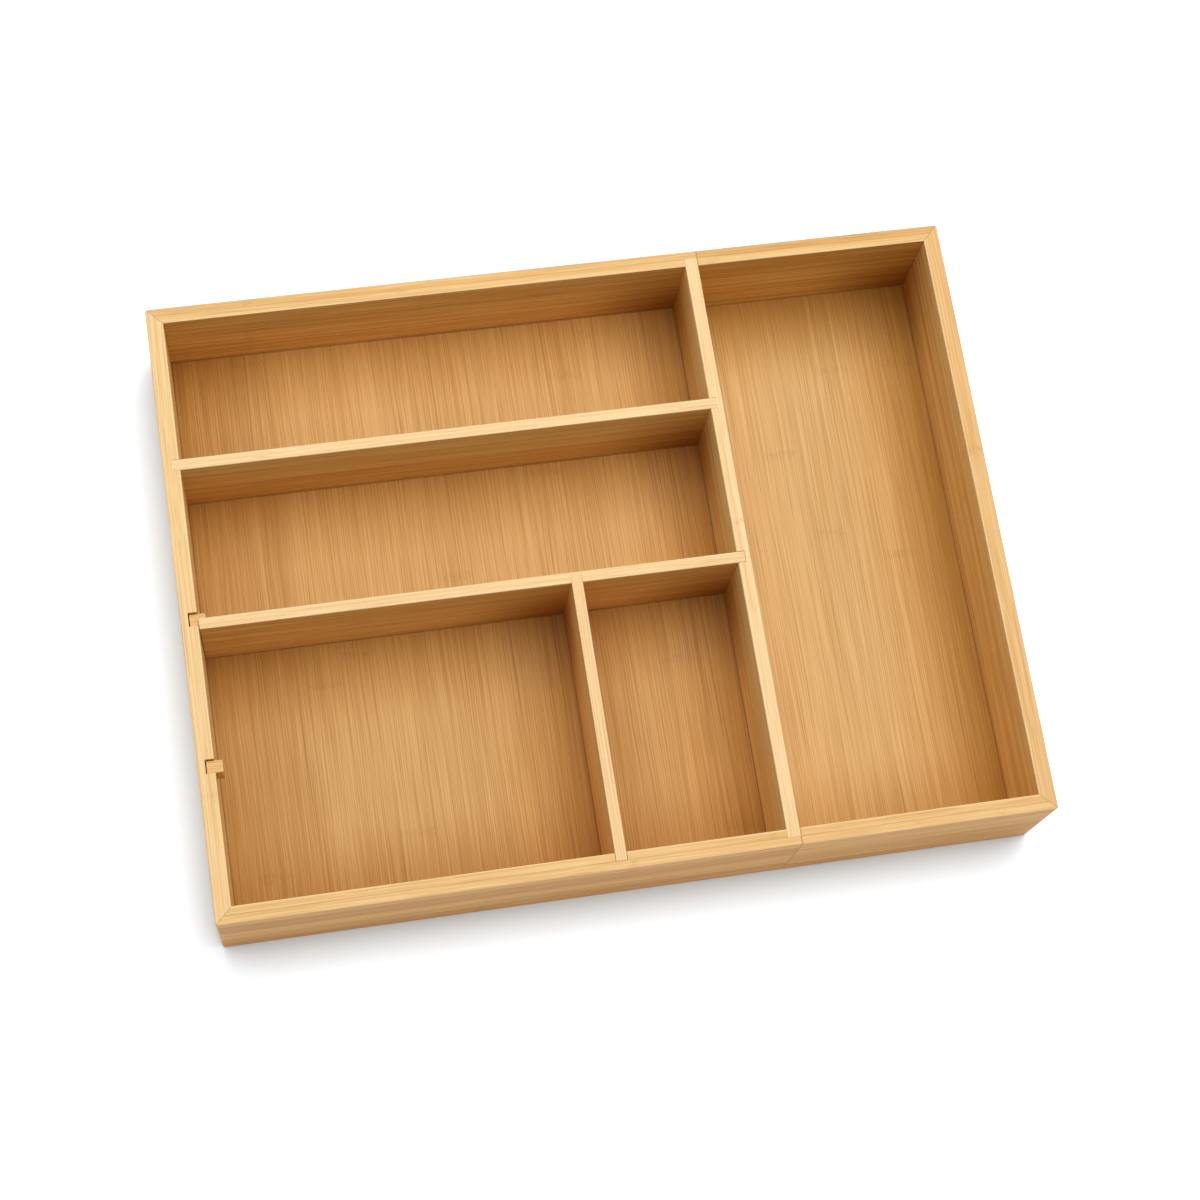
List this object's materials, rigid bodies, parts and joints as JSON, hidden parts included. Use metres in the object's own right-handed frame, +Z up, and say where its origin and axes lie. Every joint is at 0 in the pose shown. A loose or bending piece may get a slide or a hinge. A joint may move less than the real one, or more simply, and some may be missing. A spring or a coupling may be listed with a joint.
{
  "type": "expandable cutlery tray",
  "caption": "Bamboo drawer tray with long rows, a wide and a small compartment, lift-out dividers, and a full-depth compartment on the right that pulls out to widen the tray.",
  "frame": {"origin": "middle of the underside of the closed tray", "axes": "+X to the right, along the pull of the extension; +Y to the back; +Z up"},
  "size_m": [0.432, 0.33, 0.068],
  "materials": {
    "rail_bamboo": "satin lacquer",
    "divider_bamboo": "satin lacquer",
    "floor_bamboo": "satin lacquer",
    "strip_bamboo": "bare"
  },
  "bodies": {
    "main_tray": {"left_rail": "rail_bamboo", "main_front_outer_ply": "rail_bamboo", "main_front_inner_ply": "rail_bamboo", "main_back_outer_ply": "rail_bamboo", "main_back_inner_ply": "rail_bamboo", "centre_wall": "divider_bamboo", "row_divider": "divider_bamboo", "main_floor": "floor_bamboo", "front_left_spline": "strip_bamboo", "back_left_spline": "strip_bamboo", "front_runner": "strip_bamboo", "back_runner": "strip_bamboo", "stop_batten": "strip_bamboo"},
    "extension": {"right_rail": "rail_bamboo", "wing_front_outer_ply": "rail_bamboo", "wing_front_inner_ply": "rail_bamboo", "wing_back_outer_ply": "rail_bamboo", "wing_back_inner_ply": "rail_bamboo", "wing_floor": "floor_bamboo", "front_slat": "strip_bamboo", "back_slat": "strip_bamboo", "front_right_spline": "strip_bamboo", "back_right_spline": "strip_bamboo", "stop_cleat": "strip_bamboo"},
    "divider_insert": {"cross_divider": "divider_bamboo", "short_divider": "divider_bamboo", "cross_key": "divider_bamboo"},
    "spare_key": {"spare_key": "divider_bamboo"}
  },
  "joints": [
    {"name": "extension_pull", "type": "slide", "parent": "main_tray", "child": "extension", "axis": [1, 0, 0], "range_m": [0, 0.1]},
    {"name": "divider_lift", "type": "slide", "parent": "main_tray", "child": "divider_insert", "axis": [0, 0, 1], "range_m": [0, 0.07]},
    {"name": "spare_key_lift", "type": "slide", "parent": "main_tray", "child": "spare_key", "axis": [0, 0, 1], "range_m": [0, 0.03]}
  ]
}
